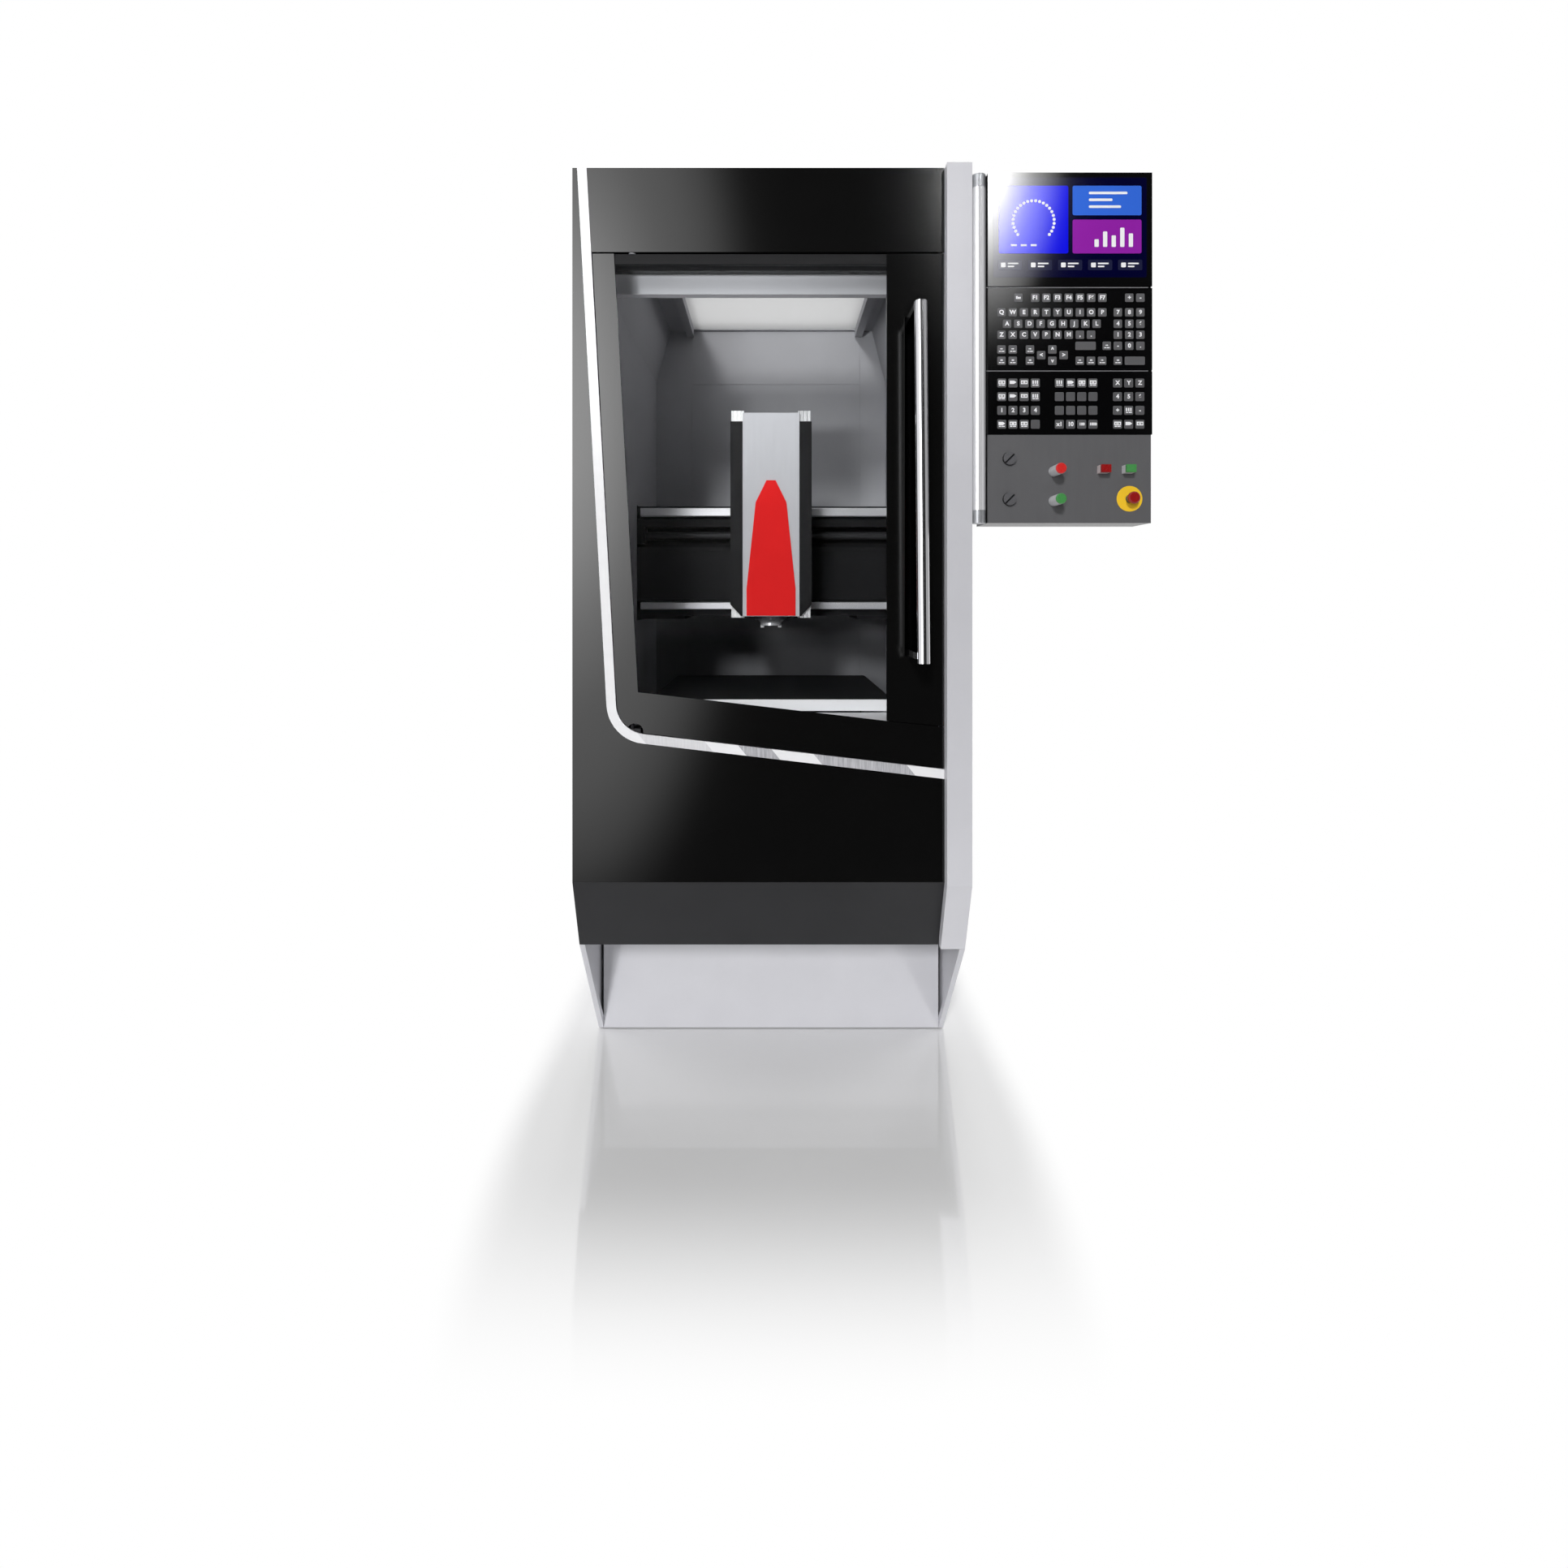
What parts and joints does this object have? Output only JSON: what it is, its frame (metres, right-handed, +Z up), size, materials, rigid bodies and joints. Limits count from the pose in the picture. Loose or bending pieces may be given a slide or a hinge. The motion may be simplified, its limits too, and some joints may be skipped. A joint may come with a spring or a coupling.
{
  "type": "compact vertical machining centre",
  "caption": "Tall narrow machining centre with a glazed swing door, a bent light strip, a sliding spindle head, a work table and a swivelling operator pendant.",
  "frame": {"origin": "on the floor, centre of the front levelling pad's underside, on the cabinet's centre plane", "axes": "+X to the right of someone facing the door, +Y towards the back, +Z up"},
  "size_m": [1.36, 1.4156, 2.194],
  "materials": {
    "gloss_black": "gloss",
    "band_grey": "satin",
    "cabinet_light": "fine texture",
    "inner_light": "matte",
    "casting_grey": "painted casting",
    "table_dark": "ground, dark",
    "dark_cover": "satin",
    "steel": "ground",
    "bright_steel": "polished",
    "guide_aluminium": "extruded",
    "strip_silver": "brushed",
    "head_silver": "satin",
    "shield_red": "satin",
    "clear_glass": "clear",
    "roof_frosted": "frosted",
    "screen": "gloss",
    "key_black": "membrane",
    "pendant_black": "gloss",
    "panel_grey": "anodised",
    "button_red": "gloss",
    "button_green": "gloss",
    "button_deep_red": "gloss",
    "switch_grey": "satin"
  },
  "bodies": {
    "machine": {"front_pad": "steel", "rear_pad_left": "steel", "rear_pad_right": "steel", "bed_casting": "casting_grey", "side_panel_left": "cabinet_light", "side_panel_right": "cabinet_light", "right_column": "cabinet_light", "fascia_panel": "gloss_black", "accent_strip": "strip_silver", "lower_band": "band_grey", "header_panel": "gloss_black", "base_front_panel": "cabinet_light", "door_pivot_lower": "steel", "door_pivot_upper": "steel", "header_beam": "cabinet_light", "inner_wall_left": "inner_light", "inner_wall_right": "inner_light", "inner_back_wall": "inner_light", "ceiling_panel": "inner_light", "roof_window": "roof_frosted", "roof_panel": "cabinet_light", "chip_tray": "steel", "bridge_beam": "dark_cover", "x_rail_upper": "bright_steel", "x_rail_lower": "bright_steel", "pendant_bracket": "steel", "control_cabinet": "cabinet_light", "control_modules": "switch_grey"},
    "door": {"door_skin": "gloss_black", "door_stile": "gloss_black", "door_frame": "dark_cover", "door_glass": "clear_glass", "door_handle": "bright_steel"},
    "table": {"work_table": "table_dark", "table_carriage": "casting_grey"},
    "x_screw": {"x_ball_screw": "steel"},
    "saddle": {"x_saddle": "casting_grey"},
    "head": {"head_housing": "casting_grey", "head_front_cover": "head_silver", "head_shield": "shield_red", "head_guide_right": "guide_aluminium", "head_guide_left": "guide_aluminium", "head_side_cover_right": "dark_cover", "head_side_cover_left": "dark_cover"},
    "spindle_shaft": {"spindle": "bright_steel"},
    "pendant": {"pendant_tube": "bright_steel", "pendant_housing": "pendant_black", "display_panel": "screen", "key_panel": "key_black", "control_panel": "panel_grey"},
    "stop_key": {"stop_button": "button_red"},
    "start_key": {"start_button": "button_green"},
    "power_off_key": {"power_off_button": "button_deep_red"},
    "power_on_key": {"power_on_button": "button_green"},
    "emergency_stem": {"emergency_stop_stem": "switch_grey"},
    "emergency_head": {"emergency_stop_head": "button_deep_red"},
    "upper_switch": {"rotary_switch_upper": "switch_grey"},
    "lower_switch": {"rotary_switch_lower": "switch_grey"},
    "rear_door": {"cabinet_door": "cabinet_light"},
    "rear_latch": {"cabinet_latch": "dark_cover"}
  },
  "joints": [
    {"name": "door_swing", "type": "hinge", "parent": "machine", "child": "door", "pos_m": [-0.33, -0.3385, 1.4], "axis": [0, 0, -1], "range_deg": [0, 90]},
    {"name": "table_y", "type": "slide", "parent": "machine", "child": "table", "axis": [0, 1, 0], "range_m": [-0.12, 0.1]},
    {"name": "saddle_x", "type": "slide", "parent": "machine", "child": "saddle", "axis": [1, 0, 0], "range_m": [-0.25, 0.25]},
    {"name": "x_screw_spin", "type": "hinge", "parent": "machine", "child": "x_screw", "pos_m": [0, 0.228, 1.3715], "axis": [1, 0, 0], "continuous": true},
    {"name": "head_z", "type": "slide", "parent": "saddle", "child": "head", "axis": [0, 0, 1], "range_m": [-0.12, 0.17]},
    {"name": "spindle_spin", "type": "hinge", "parent": "head", "child": "spindle_shaft", "pos_m": [0, 0.035, 1.14], "axis": [0, 0, 1], "continuous": true},
    {"name": "pendant_swing", "type": "hinge", "parent": "machine", "child": "pendant", "pos_m": [0.4886, -0.3545, 1.76], "axis": [0, 0, -1], "range_deg": [0, 90]},
    {"name": "stop_press", "type": "slide", "parent": "pendant", "child": "stop_key", "axis": [0, 1, 0], "range_m": [0, 0.004], "stiffness_N_per_m": 400, "springref_m": -0.003},
    {"name": "start_press", "type": "slide", "parent": "pendant", "child": "start_key", "axis": [0, 1, 0], "range_m": [0, 0.004], "stiffness_N_per_m": 400, "springref_m": -0.003},
    {"name": "power_off_press", "type": "slide", "parent": "pendant", "child": "power_off_key", "axis": [0, 1, 0], "range_m": [0, 0.003], "stiffness_N_per_m": 400, "springref_m": -0.003},
    {"name": "power_on_press", "type": "slide", "parent": "pendant", "child": "power_on_key", "axis": [0, 1, 0], "range_m": [0, 0.003], "stiffness_N_per_m": 400, "springref_m": -0.003},
    {"name": "emergency_press", "type": "slide", "parent": "pendant", "child": "emergency_stem", "axis": [0, 1, 0], "range_m": [0, 0.005]},
    {"name": "emergency_twist", "type": "hinge", "parent": "emergency_stem", "child": "emergency_head", "pos_m": [0.8378, -0.385, 1.4084], "axis": [0, 1, 0], "range_deg": [0, 45], "stiffness_Nm_per_rad": 0.1},
    {"name": "upper_switch_turn", "type": "hinge", "parent": "pendant", "child": "upper_switch", "pos_m": [0.5568, -0.37, 1.502], "axis": [0, 1, 0], "range_deg": [0, 90]},
    {"name": "lower_switch_turn", "type": "hinge", "parent": "pendant", "child": "lower_switch", "pos_m": [0.5568, -0.37, 1.4074], "axis": [0, 1, 0], "range_deg": [0, 90]},
    {"name": "rear_door_swing", "type": "hinge", "parent": "machine", "child": "rear_door", "pos_m": [0.47, 0.9253, 1.3], "axis": [0, 0, -1], "range_deg": [0, 110]},
    {"name": "rear_latch_turn", "type": "hinge", "parent": "rear_door", "child": "rear_latch", "pos_m": [-0.42, 0.93, 1.25], "axis": [0, -1, 0], "range_deg": [0, 90]}
  ],
  "couplings": [
    {"joint": "x_screw_spin", "follows": "saddle_x", "rad_per_m": 392.7}
  ]
}
